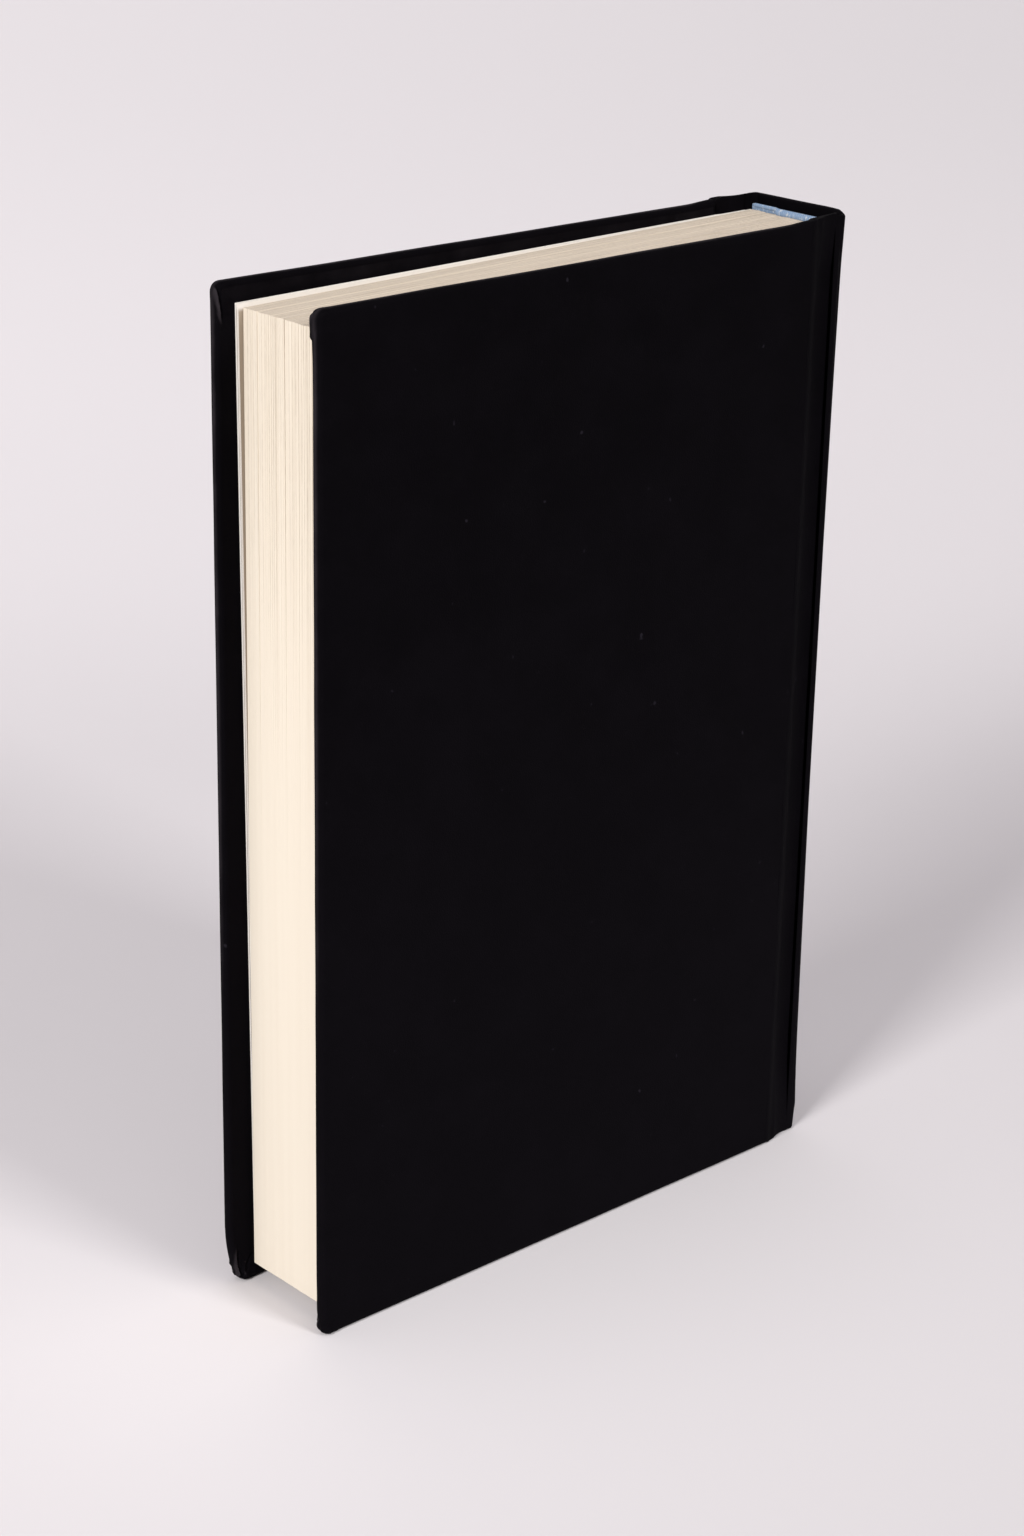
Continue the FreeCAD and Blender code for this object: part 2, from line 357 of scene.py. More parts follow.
def finish_leaves(colours):
    """The leaves' edges: fine lines along each leaf, greyer towards the head, with painted shade on the head
    that faces up.
    """
    finish = Finish("page_edges")
    spot = finish.spot()
    x, y, z = finish.parts(spot)
    leaf = finish.value("leaf")
    seam = finish.value("seam")
    normal = finish.parts(finish.node("ShaderNodeNewGeometry", out="Normal"))
    # head marks the faces that look up, which get painted shade below
    head = finish.level(normal[2], 0.4, 0.8)
    fine = finish.clouds(finish.vector(leaf * 2.6, x * 30.0, z * 20.0), 1.0, 3.0, 0.75)
    broad = finish.clouds(finish.vector(leaf * 0.6, x * 12.0, z * 9.0), 1.0, 2.0, 0.5)
    breaks = finish.clouds(finish.vector(leaf * 1.5, x * 500.0, z * 500.0), 1.0, 3.0, 0.65)
    dust = finish.clouds(spot, 1300.0, 2.0, 0.6)
    high = finish.level(z + (broad - 0.5) * 0.05, 0.125, 0.215)
    on_fore = high * (1.0 - head)
    lines = finish.level(fine, 0.48, 0.70)
    grey = lines * (0.05 + 0.30 * on_fore + 0.50 * head) * (0.4 + 1.2 * breaks)
    grey = grey + seam * (0.02 + 0.48 * on_fore + 0.25 * head) * finish.level(breaks, 0.3, 0.6, 0.45, 1.1)
    dusty = finish.level(dust, 0.42, 0.7) * (0.15 + 0.45 * finish.level(x, 0.02, 0.075))
    grey = grey + 0.20 * on_fore + head * dusty
    cream = finish.blend(broad, tuple(colours.page), tuple(colours.page_light))
    # painted shade: the head's paper is drawn in a darker colour than the fore edge
    tone = finish.blend(head, cream, tuple(colours.page_head_shaded))
    # painted shade: the lines are darker on the head
    line = finish.blend(head, tuple(colours.page_line), scaled(colours.page_line, 0.72))
    tone = finish.blend(finish.level(grey, 0.0, 1.1, 0.0, 0.72), tone, line)
    finish.shade(
        Base_Color=tone,
        Roughness=0.85,
        Specular_IOR_Level=0.15,
        Normal=finish.bump(fine * 0.6 + dust * 0.4, 0.3, 0.00008),
    )
    return finish.material


def finish_end_paper(colours):
    """Smooth white end paper with a faint fibre, and painted shade: browner in the recess by the leaves and
    on end leaves in the gaps' shade.
    """
    finish = Finish("white_end_paper")
    spot = finish.spot()
    x, y, z = finish.parts(spot)
    fibre = finish.clouds(spot, 700.0, 4.0, 0.7)
    cloud = finish.clouds(spot, 30.0, 2.0)
    facing = finish.parts(finish.node("ShaderNodeNewGeometry", out="Normal"))[1]
    fore = (ORIGIN_X + 5.4) / 1000.0
    # painted shade on the inner face of the front end leaves, in the recess by the leaves' fore edge, below
    # the head
    recess_shade = finish.value("recess_shade") * finish.level(facing * -1.0, 0.3, 0.7)
    recess_shade = recess_shade * finish.level(x, fore, fore + 0.0008, 1.0, 0.0)
    recess_shade = recess_shade * finish.level(z, 0.2293, 0.2306, 1.0, 0.0)
    white = tuple(colours.end_paper)
    warm = tuple(value * share for value, share in zip(white, (0.96, 0.94, 0.9)))
    paper = finish.blend(fibre * 0.5 + cloud * 0.4, white, warm)
    # painted shade: the recess, and end leaves that lie in the shade of the gaps between them
    painted_shade = recess_shade * 0.9 + finish.value("gap_shade") * 0.5 * (1.0 - recess_shade)
    finish.shade(
        Base_Color=finish.blend(painted_shade, paper, tuple(colours.page_shade)),
        Roughness=0.8,
        Specular_IOR_Level=0.2,
        Normal=finish.bump(fibre, 0.15, 0.00005),
    )
    return finish.material


def finish_band(colours):
    """Woven light blue band with paler flecks and painted shade between the wraps."""
    finish = Finish("head_band_weave")
    spot = finish.spot()
    x, y, z = finish.parts(spot)
    stitch = finish.value("stitch")
    fleck = finish.clouds(finish.vector(x * 900.0, y * 1500.0, z * 900.0), 1.0, 2.0, 0.7)
    thread = finish.clouds(spot, 4200.0, 2.0, 0.6)
    # painted shade: the blue is darker in the valleys between the wraps
    blue = finish.blend(stitch, tuple(colours.band_shade), tuple(colours.band))
    finish.shade(
        Base_Color=finish.blend(finish.level(fleck, 0.5, 0.68), blue, tuple(colours.band_fleck)),
        Roughness=0.7,
        Specular_IOR_Level=0.3,
        Normal=finish.bump(thread * 0.6 + stitch * 0.4, 0.4, 0.0001),
    )
    return finish.material


def finish_board(name, colour):
    """Grey board or card with fibres and flecks."""
    finish = Finish(name)
    spot = finish.spot()
    fibre = finish.clouds(spot, 500.0, 4.0, 0.75)
    fleck = finish.level(finish.clouds(spot, 1800.0, 1.0, 0.4), 0.66, 0.78)
    dark = scaled(colour, 0.78)
    tone = finish.blend(fibre, dark, tuple(colour))
    finish.shade(
        Base_Color=finish.blend(fleck, tone, scaled(colour, 0.45)),
        Roughness=0.9,
        Specular_IOR_Level=0.2,
        Normal=finish.bump(fibre, 0.3, 0.0001),
    )
    return finish.material


def finish_lining(colours):
    """Open woven lining cloth."""
    finish = Finish("lining_cloth")
    spot = finish.spot()
    x, y, z = finish.parts(spot)
    warp = finish.node("ShaderNodeMath", {"operation": "SINE"}, {0: y * 5200.0})
    weft = finish.node("ShaderNodeMath", {"operation": "SINE"}, {0: z * 5200.0})
    weave = warp * weft * 0.5 + 0.5
    cloth = tuple(colours.lining)
    finish.shade(
        Base_Color=finish.blend(weave, scaled(cloth, 0.7), cloth),
        Roughness=0.9,
        Specular_IOR_Level=0.2,
        Normal=finish.bump(weave, 0.5, 0.0001),
    )
    return finish.material


def finish_floor(colours):
    """Pale studio sweep with a barely seen cloudiness, and painted light: a painted glow beyond the book,
    painted fill close to the book and a painted falloff to one side.
    """
    finish = Finish("pale_sweep")
    spot = finish.spot()
    x, y, z = finish.parts(spot)
    away = x * 0.676 + y * 0.737
    across = x * 0.737 - y * 0.676
    # painted light: a painted glow on the sweep in a band beyond the book
    painted_glow = finish.level(away, 0.25, 0.5) * finish.level(away, 0.6, 0.95, 1.0, 0.0)
    # painted light that lifts the shade on the floor close to the book, most in front of it
    painted_fill = finish.level(x * x + y * y, 0.0, 0.036, 1.0, 0.0) * finish.level(away, -0.1, 0.08, 1.0, 0.35)
    # painted falloff: the sweep is drawn darker to the right and lighter to the left
    painted_falloff = across * finish.level(across, -0.3, 0.3, 0.84, 0.9)
    tone = 0.26 + 0.32 * painted_glow + 0.46 * painted_fill - painted_falloff + 0.03 * finish.clouds(spot, 1.2, 2.0)
    pale = tuple(colours.floor)
    finish.shade(
        Base_Color=finish.blend(tone, scaled(pale, 0.88), scaled(pale, 1.12)),
        Roughness=0.9,
        Specular_IOR_Level=0.1,
    )
    return finish.material


# The case

COVER_WIDTH = 146.2
COVER_HEIGHT = 236.0
COVER_DEPTH = 2.84     # from the outer face to the turned-in cloth
INNER_FACE = 3.01      # from the outer face to the pastedown's face
TURN_IN = 15.0
SPINE_TAIL = 0.25
SPINE_HEAD = 236.95
SPINE_OUTER = 158.38
CLOTH = 0.3
STRIP_DEPTH = NEAR_FACE - 0.05 - CLOTH
INNER_INSETS = [1.35 + 0.2 * k for k in range(14)] + [4.5, 5.5, 7.0, 9.0, 11.0, 13.0, TURN_IN]
OUTER_INSETS = (COVER_WIDTH / 2.0, 60.0, 45.0, 30.0, 20.0, 12.0, 8.0, 5.0, 3.5, 2.3)
CORNER_REACH = 14.0    # how far the wear of a tail corner reaches
LEAF_BAY = 0.3         # one step of the leaves' uneven edges
SHOULDER_RADIUS = 2.0


def cover_ring(inset, depth, back_inset, sizes, us, zs):
    """One loop round a cover, as (u, depth, z), at an inset from its outline.

    The fore corners are round, the back corners square. back_inset is the
    loop's distance from the cover's back edge.
    """
    radius = max(sizes.corner_radius * 1000.0 - inset, 0.0)
    fore = inset + radius
    low, high = inset, COVER_HEIGHT - inset
    back = COVER_WIDTH - back_inset
    arc = [math.radians(90.0) * k / 8 for k in range(9)]

    def spread(places, start, end):
        first, last = places[0], places[-1]
        return [mix(start, end, (value - first) / (last - first)) for value in places]

    loop = [(u, depth, low) for u in spread(us, fore, back)]
    loop += [(back, depth, z) for z in spread(zs, fore, COVER_HEIGHT - fore)]
    loop += [(u, depth, high) for u in reversed(spread(us, fore, back))]
    loop += [(fore - radius * math.sin(a), depth, high - radius * (1.0 - math.cos(a))) for a in arc[1:]]
    loop += [(inset, depth, z) for z in reversed(spread(zs, fore, COVER_HEIGHT - fore))]
    loop += [(fore - radius * math.cos(a), depth, low + radius * (1.0 - math.sin(a))) for a in arc[1:-1]]
    return loop


def soften(u, depth, z, sizes, side):
    """A cover's point with its folded corners, its bruises and a slight waviness.

    side holds the cover's seed, the share of its head tuck and its tail corner's
    wear in millimetres. The result is the point and the painted highlight on raised folds and crumpled
    ridges.
    """
    seed, head_tuck, crush = side
    ends = min(z, COVER_HEIGHT - z)
    at_head = z > COVER_HEIGHT / 2.0
    share = depth / COVER_DEPTH
    ridge_highlight = 0.0
    # the cloth that is folded under at a head corner stands a little proud
    if at_head:
        length = sizes.tuck_length * 1000.0 * (0.42 + 0.58 * share)
        proud = ease(ends, length + 0.3, length - 0.4) * ease(u, 4.6, 2.6) * head_tuck
        rise = sizes.tuck_rise * 1000.0 * (1.0 + 0.2 * ripple(u * 0.5, depth, z * 0.5, seed))
        u -= proud * rise * 0.6 * ease(u, 2.2, 0.3) * ease(share, 0.1, 0.4)
        depth += proud * rise * ease(share, 0.45, 0.95)
        # painted highlight on the proud tuck
        ridge_highlight = 0.5 * proud * ease(share, 0.25, 0.5) * ease(u, 1.2, 0.0)
    # the mitre, where two turn-ins meet, and the steeper crease of the fold under it
    if share > 0.6 and u < 17.0:
        mitre = ease(abs(u - ends), 0.5, 0.0) * ease(ends, 0.6, 1.6) * ease(share, 0.85, 0.95)
        fold_at = 0.35 + 0.17 * ends
        fold = ease(abs(u - fold_at), 0.42, 0.0) * ease(ends, 9.0, 6.5) * ease(ends, 0.3, 1.2)
        depth -= 0.22 * mitre + 0.55 * fold * ease(share, 0.6, 0.9)
        ear = ease(u, fold_at, fold_at - 0.5) * ease(ends, 11.0, 6.0)
        depth += 0.2 * ear
        # painted highlight on the ear beside the fold
        ridge_highlight = max(ridge_highlight, 1.35 * ear * ease(u, fold_at - 1.6, fold_at - 0.6) * ease(ends, 0.2, 1.0))
    # the tail corners are worn and bruised
    reach = math.hypot(u, ends)
    if not at_head and reach < CORNER_REACH:
        u += crush * max(0.0, 1.0 - ends / CORNER_REACH) ** 1.6 * ease(u, 9.0, 0.0)
        depth += 0.5 * crush * ease(ends, 5.6, 1.0) * ease(u, 16.0, 6.0) * ease(share, 0.4, 0.9)
        bruise = ease(reach, 7.0, 1.0) * sizes.bruise * 1000.0
        u += bruise * 0.5 * ripple(u * 0.7, depth * 0.8, z * 0.7, seed + 3.0)
        depth += bruise * 0.7 * ripple(u * 0.9, depth, z * 0.9, seed + 7.0)
        # painted highlight on the crumpled ridges of the bruise
        ridge_highlight = max(ridge_highlight, 1.2 * bruise * ease(ripple(u * 1.3, depth, z * 1.3, seed + 9.0), 0.0, 0.6))
    # edges that aren't quite straight
    sway = ease(min(ends, u), 9.0, 0.0)
    depth += 0.08 * sway * ripple(u * 0.05, share * 2.0, z * 0.05, seed)
    depth += 0.03 * ripple(u * 0.12, share, z * 0.12, seed + 1.0)
    z += 0.4 * ease(u, COVER_WIDTH - 9.0, COVER_WIDTH) * ease(COVER_HEIGHT - z, 3.0, 0.0)
    if at_head and ends < 3.0:
        z += 0.12 * ripple(u * 0.04, share, 3.0, seed + 2.0) * ease(ends, 3.0, 0.0)
    return (u, depth, max(z, 0.0)), ridge_highlight


def cover_covering(name, lay, sizes, finish, side):
    """One cover's covering: outer face, wrapped edges, turn-ins and folded corners."""
    radius = sizes.edge_radius * 1000.0
    corner = sizes.corner_radius * 1000.0
    us = stations(corner, COVER_WIDTH, 0.6, 3.2, 8.0)
    zs = stations(corner, COVER_HEIGHT - corner, 0.5, 3.2, 9.0)
    arc = [math.radians(90.0) * k / 6 for k in range(7)]
    shape = Shape()

    def row(inset, depth, wear):
        inner = depth > COVER_DEPTH / 2.0 and inset > radius
        points = []
        for u, d, z in cover_ring(inset, depth, radius if inner else inset, sizes, us, zs):
            # rubbed edges with a painted sheen: weaker towards the tail and none near the back edge
            rubbed_and_sheen = wear * ease(COVER_WIDTH - u, 2.0, 9.0) * mix(0.35, 1.0, ease(z, 20.0, 150.0))
            # painted light on the turn-in near the head, where a lamp falls on the inner face
            if inner:
                rubbed_and_sheen = 0.55 * ease(z, COVER_HEIGHT - 9.0, COVER_HEIGHT - 2.0)
            # the back edge stays under the pastedown between the turn-ins
            if d > 2.4 and u > COVER_WIDTH - 1.6:
                d -= 0.4 * ease(min(z, COVER_HEIGHT - z), TURN_IN - 1.5, TURN_IN)
            where, ridge_highlight = soften(u, d, z, sizes, side)
            points.append(shape.point(lay(*where), wear=max(rubbed_and_sheen, ridge_highlight)))
        return points

    # each station's third value is its wear: rubbing with a painted sheen, most on the middle of the
    # fore-edge face
    rolled = []
    for angle in arc:
        turned = 1.0 - math.cos(angle)
        rolled.append((radius * (1.0 - math.sin(angle)), radius * turned, 0.9 * turned))
    profile = rolled + [(0.0, COVER_DEPTH / 2.0, 1.0)]
    profile += [(inset, COVER_DEPTH - depth, wear) for inset, depth, wear in reversed(rolled)]
    profile += [(inset, COVER_DEPTH, 0.0) for inset in INNER_INSETS]
    profile += [(TURN_IN, COVER_DEPTH - CLOTH, 0.0)]
    shape.loft_all([row(*station) for station in profile])
    # the outer face, from the middle outwards
    middle = [row(inset, 0.0, 0.0) for inset in OUTER_INSETS]
    shape.loft_all(middle + [row(*profile[0])])
    return shape.build(name, finish, 60.0)


def cover_board(name, lay, sizes, finish, side):
    """The board inside a cover, with the same bruises as its covering."""
    corner = sizes.corner_radius * 1000.0
    us = stations(corner, COVER_WIDTH, 0.6, 8.0, 8.0)
    zs = stations(corner, COVER_HEIGHT - corner, 0.6, 8.0, 9.0)
    inner = COVER_DEPTH - CLOTH - 0.04
    profile = [(COVER_WIDTH / 2.0, 0.34), (12.0, 0.34), (6.0, 0.5), (2.5, 0.7), (1.3, 0.95)]
    profile += [(1.15, 1.4), (1.3, 1.75), (2.5, 1.95), (6.0, 2.05), (12.0, inner), (COVER_WIDTH / 2.0, inner)]
    shape = Shape()
    rows = []
    for inset, depth in profile:
        ring = cover_ring(inset, depth, inset, sizes, us, zs)
        rows.append([shape.point(lay(*soften(u, d, z, sizes, side)[0])) for u, d, z in ring])
    shape.loft_all(rows)
    return shape.build(name, finish, 40.0)


GROOVE = (
    (-1.5, -0.02), (-0.7, 0.05), (0.0, 0.25), (0.8, 0.68), (1.6, 1.2),
    (2.4, 1.68), (3.4, 2.15), (4.6, 2.5), (6.2, STRIP_DEPTH),
)


def groove_depth(along):
    """The joint cloth's outer face, by the distance behind a cover's back edge."""
    for (low, start), (high, end) in zip(GROOVE, GROOVE[1:]):
        if along <= high:
            return mix(start, end, max(0.0, (along - low) / (high - low)))
    return STRIP_DEPTH


def end_flare(z):
    """How far the back cover's joint and shoulder stand out near tail and head."""
    return 1.05 * ease(z, 26.0, 0.0) + 0.95 * ease(z, COVER_HEIGHT - 16.0, COVER_HEIGHT)


def joint_cloth(name, lay, shift, finish, seed, rise, flare):
    """The covering across a groove, from a cover's back edge to the spine.

    rise is the length over which its head climbs from the cover to the spine.
    """
    shape = Shape()
    start = COVER_WIDTH - 1.5
    end = FOLD_U + shift - 1.2
    places = [start + 0.35 * k for k in range(19)]
    places += stations(places[-1] + 0.35, end, 0.4, 0.5, 1.0)
    rows = []
    for u in places:
        along = u - COVER_WIDTH
        round_off = 0.9 * ease(along, 0.2, -1.4)
        low = mix(0.04, SPINE_TAIL, ease(along, -0.5, 4.0)) + round_off
        climb = max(0.0, min(1.0, (along + 0.5) / rise))
        high = mix(COVER_HEIGHT + 0.45, SPINE_HEAD - 0.05, climb) - round_off
        outer = groove_depth(along) - 0.12 * ease(u, end - 1.6, end)
        thick = mix(0.06, CLOTH, ease(along, -0.6, 0.6))
        row = []
        span = high - low
        marks = [0.0, 0.12, 0.35, 0.8, 2.0] + [span * k / 36.0 for k in range(1, 36)]
        marks += [span - 2.0, span - 0.8, span - 0.35, span - 0.12, span]
        marks.sort()
        for side, turns in ((0.0, marks), (1.0, marks[::-1])):
            for mark in turns:
                edge = min(mark, span - mark)
                fold = 0.5 * thick * (1.0 - ease(edge, 0.0, 0.4))
                wave = 0.05 * ripple(u * 0.3, 2.0, mark * 0.06, seed) * ease(edge, 0.0, 6.0) * (1.0 - side)
                out = flare * end_flare(low + mark) * ease(along, -0.5, 3.0) * min(1.0, outer / 1.6)
                turned = ease(low + mark, COVER_HEIGHT - 2.4, COVER_HEIGHT - 1.2)
                inner = outer + thick + max(0.0, 2.7 + out - outer - thick) * turned
                depth = mix(outer, inner, side) + fold * (1.0 - 2.0 * side) + wave - out
                # rubbing with a painted sheen along the top edge
                rubbed_and_sheen = 0.2 * (1.0 - ease(edge, 0.0, 0.8)) * (1.0 - side)
                row.append(shape.point(lay(u, depth, low + mark), wear=rubbed_and_sheen))
        rows.append(row)
    shape.loft_all(rows)
    shape.cap(rows[0])
    shape.cap(rows[-1], flip=True)
    return shape.build(name, finish, 50.0)


def shoulder_rise(u):
    """The low ridge where the spine's covering passes the fold of the end papers."""
    return 0.12 * ease(u, FOLD_U - 2.2, FOLD_U - 0.2) * ease(u, FOLD_U + 1.2, FOLD_U + 0.2)


def spine_route():
    """The spine's plan from the back shoulder round to the front shoulder.

    It gives (u, v, outward u, outward v, share of the flat back).
    """
    radius = SHOULDER_RADIUS
    near = NEAR_FACE - 0.05 - CLOTH
    far = FAR_FACE + 0.05 + CLOTH
    slope = math.tan(FRONT_AJAR)
    route = []
    for k in range(7):
        u = mix(FOLD_U - 1.6, SPINE_OUTER - radius, k / 7.0)
        route.append((u, near - shoulder_rise(u), 0.0, -1.0, 0.0))
    for k in range(9):
        angle = math.radians(90.0) * k / 8
        route.append((
            SPINE_OUTER - radius + radius * math.sin(angle),
            near + radius - radius * math.cos(angle),
            math.sin(angle),
            -math.cos(angle),
            ease(k, 3.0, 8.0),
        ))
    for k in range(1, 12):
        route.append((SPINE_OUTER, mix(near + radius, far - radius, k / 12.0), 1.0, 0.0, 1.0))
    for k in range(9):
        angle = math.radians(90.0) * k / 8
        route.append((
            SPINE_OUTER - radius + radius * math.cos(angle),
            far - radius + radius * math.sin(angle),
            math.cos(angle),
            math.sin(angle),
            ease(8 - k, 3.0, 8.0),
        ))
    for k in range(6, -1, -1):
        u = mix(FOLD_U - 1.6, SPINE_OUTER - radius, k / 7.0)
        route.append((u, far + shoulder_rise(u) + max(0.0, FOLD_U - u) * slope, 0.0, 1.0, 0.0))
    return route


def corner_bite(index, z):
    """How far the spine's near tail corner is pushed in, by the station on its route."""
    return 1.5 * ease(index, 6, 11) * ease(index, 25, 14) * ease(z, 4.5, 0.0)


def spine_card(finish):
    """The card strip inside the spine, pushed in with the covering at its tail corner."""
    shape = Shape()
    near, far = NEAR_FACE + 1.5, FAR_FACE - 1.4
    across = [k / 14.0 for k in range(15)]
    rows = []
    for z in stations(0.95, SPINE_HEAD - 0.85, 0.4, 6.0, 5.0):
        row = []
        for inward, shares in ((0.34, across), (0.80, across[::-1])):
            for share in shares:
                pushed = inward + corner_bite(mix(14.0, 27.0, share), z)
                row.append(shape.point(place(SPINE_OUTER - pushed, mix(near, far, share), z)))
        rows.append(row)
    shape.loft_all(rows)
    shape.cap(rows[0])
    shape.cap(rows[-1], flip=True)
    return shape.build("spine_card_strip", finish, 40.0)


def spine_cloth(finish):
    """The covering round the spine, turned in over the card at head and tail."""
    shape = Shape()
    rows = []
    seed = 4.0
    route = spine_route()
    for index, (u, v, out_u, out_v, flat) in enumerate(route):
        share = index / (len(route) - 1)
        thick = mix(0.62, 1.14, flat)
        flare = 0.42 + 0.2 * ease(index, 18, 12)
        flare *= ease(index, 6, 11) * ease(len(route) - 1 - index, 6, 11)
        shoulder = ease(index, 13, 7)
        half = 0.5 * (thick + flare)
        middle = thick - half
        arch = 0.16 - 0.62 * share * share
        head = SPINE_HEAD + arch * flat - 0.75 * ease(index, 17, 10)
        head += 0.06 * ripple(index * 0.2, 1.0, 2.0, seed)
        tail = SPINE_TAIL
        loop = []
        for k in range(41):
            z = mix(tail + half, head - half, k / 40.0)
            hollow = abs(2.0 * k / 40.0 - 1.0) ** 2.0
            dent = 0.07 * ripple(index * 0.12, 0.0, z * 0.025, seed + 1.0) * (1.0 - hollow)
            loop.append((dent - flare * hollow, z, 0.0 if 0 < k < 40 else 0.4))
        for k in range(1, 8):
            angle = math.radians(180.0) * k / 8
            bulge = math.sin(angle)
            loop.append((middle - half * math.cos(angle), head - half + half * bulge, 0.8 * bulge))
        loop.append((thick, head - half, 0.2))
        loop.append((thick, head - TURN_IN, 0.0))
        loop.append((thick - CLOTH, head - TURN_IN, 0.0))
        loop.append((thick - CLOTH, head - half - 0.1, 0.0))
        loop.append((CLOTH, head - half - 0.1, 0.0))
        loop.append((CLOTH, tail + half + 0.1, 0.0))
        loop.append((thick - CLOTH, tail + half + 0.1, 0.0))
        loop.append((thick - CLOTH, tail + TURN_IN, 0.0))
        loop.append((thick, tail + TURN_IN, 0.0))
        loop.append((thick, tail + half, 0.2))
        for k in range(1, 8):
            angle = math.radians(180.0) * k / 8
            bulge = math.sin(angle)
            loop.append((middle + half * math.cos(angle), tail + half - half * bulge, 0.8 * bulge))
        # wear: rubbing with a painted sheen on the turned head and tail edges, more on the flat back
        rows.append([
            shape.point(
                place(
                    u - out_u * (inward + corner_bite(index, z)),
                    v - out_v * (inward + 0.53 * corner_bite(index, z)) - end_flare(z) * shoulder,
                    z,
                ),
                wear=wear * (0.4 + 0.6 * flat),
            )
            for inward, z, wear in loop
        ])
    shape.loft_all(rows)
    shape.cap(rows[0])
    shape.cap(rows[-1], flip=True)
    return shape.build("spine_cloth", finish, 60.0)


# End papers and leaves

def outline_at(outline, across, up):
    """A point of a leaf from its four corners: tail fore, head fore, head back, tail back."""
    tail_fore, head_fore, head_back, tail_back = outline
    fore = (mix(tail_fore[0], head_fore[0], up), mix(tail_fore[1], head_fore[1], up))
    back = (mix(tail_back[0], head_back[0], up), mix(tail_back[1], head_back[1], up))
    return mix(fore[0], back[0], across), mix(fore[1], back[1], across)


FRONT_SHEET = ((5.85, 4.3), (3.7, 231.2), (FOLD_U, 233.1), (FOLD_U, 4.9))
BACK_SHEET = ((5.2, 4.2), (4.4, 231.1), (FOLD_U, 233.1), (FOLD_U, 4.8))


def pastedown(name, lay, outline, shift, finish, seed):
    """The end paper inside a cover, with the ridge of the turn-ins showing through."""
    shape = Shape()
    edge = COVER_WIDTH - 0.5
    cut = [(u + shift, z) for u, z in outline[:2]]
    cut += [(edge, outline[2][1] - 0.1), (edge, outline[3][1] + 0.1)]
    across = [k / 70.0 for k in range(71)]
    up = [k / 110.0 for k in range(111)]
    rows = []
    for t in up:
        row = []
        for s in across:
            u, z = outline_at(cut, s, t)
            rim = min(u - TURN_IN, z - TURN_IN, COVER_HEIGHT - TURN_IN - z)
            sunk = 0.30 * ease(rim, -0.8, 1.2)
            wave = 0.02 * ripple(u * 0.06, 1.0, z * 0.06, seed)
            row.append(shape.point(lay(u, INNER_FACE - sunk + wave, z)))
        rows.append(row)
    shape.loft_all(rows, closed=False)
    rim = rows[0] + [row[-1] for row in rows[1:-1]] + rows[-1][::-1] + [row[0] for row in rows[-2:0:-1]]
    skirt = []
    for number in rim:
        x, y, z = shape.points[number]
        side = -1.0 if lay is on_back else 1.0
        skirt.append(shape.point((x, y + side * 0.00016, z)))
    shape.loft(rim, skirt)
    return shape.build(name, finish, 40.0)


def hinge_paper(name, lay, outline, shift, finish):
    """The end paper across the joint, from the pastedown to the fold."""
    shape = Shape()
    start = COVER_WIDTH - 0.9
    end = FOLD_U + shift
    rows = []
    steps = 26
    for k in range(steps + 1):
        share = k / steps
        u = mix(start, end, share)
        depth = mix(INNER_FACE - 0.28, NEAR_FACE - 0.03, ease(u, start, COVER_WIDTH + 1.2))
        high = outline[2][1] - 0.1 * (1.0 - share)
        low = outline[3][1] + 0.1 * (1.0 - share)
        rows.append([shape.point(lay(u, depth, mix(low, high, j / 24.0))) for j in range(25)])
    shape.loft_all(rows, closed=False)
    return shape.build(name, finish, 60.0)


def leaf_rings(shape, outlines, near, far):
    """A stack of leaves: each leaf's own outline, lofted like a flight of steps.

    near and far give the stack's two faces at a distance u.
    """
    count = len(outlines)
    rings = []
    for index, outline in enumerate(outlines):
        for side in (0, 1):
            share = (index + side) / count
            ring = []
            for u, z, values in outline:
                ring.append(shape.point(place(u, mix(near(u), far(u), share), z), **values))
            rings.append(ring)
    shape.loft_all(rings)
    return rings


def sheet_outline(corners, jog, values, seed, wave):
    """A leaf's edge as points with their values, a little wavy at fore edge and head."""
    points = []
    parts = 16
    for k in range(parts + 1):
        share = k / parts
        u, z = outline_at(corners, 0.0, share)
        points.append((u + jog + wave * ripple(seed, 0.0, share * 3.0), z, values))
    for k in range(1, parts + 1):
        share = k / parts
        u, z = outline_at(corners, share, 1.0)
        points.append((u, z - jog * 0.6 * (1.0 - share) + wave * ripple(seed, share * 4.0, 5.0), values))
    for k in range(parts):
        share = 1.0 - k / parts
        u, z = outline_at(corners, share, 0.0)
        points.append((u, z + jog * 0.3 * (1.0 - share), values))
    return points


def end_leaves(name, sheets, front, finish):
    """White end leaves: each is a thin sheet with air beside it."""
    shape = Shape()
    corners = FRONT_SHEET if front else BACK_SHEET
    for index, (inner, outer, jog, gap_shade) in enumerate(sheets):
        if front:
            near = lambda u, gap=inner: far_line(u) - gap
            far = lambda u, gap=outer: far_line(u) - gap
        else:
            near = lambda u, gap=outer: NEAR_FACE + gap
            far = lambda u, gap=inner: NEAR_FACE + gap
        # painted shade: the front leaves carry the mark for the shaded recess, and each sheet its own painted
        # gap shade
        held = {"recess_shade": 1.0 if front else 0.0, "gap_shade": gap_shade}
        outline = sheet_outline(corners, jog, held, index * 1.7 + (9.0 if front else 2.0), 0.06)
        rings = leaf_rings(shape, [outline], near, far)
        shape.cap(rings[0])
        shape.cap(rings[-1], flip=True)
    return shape.build(name, finish)


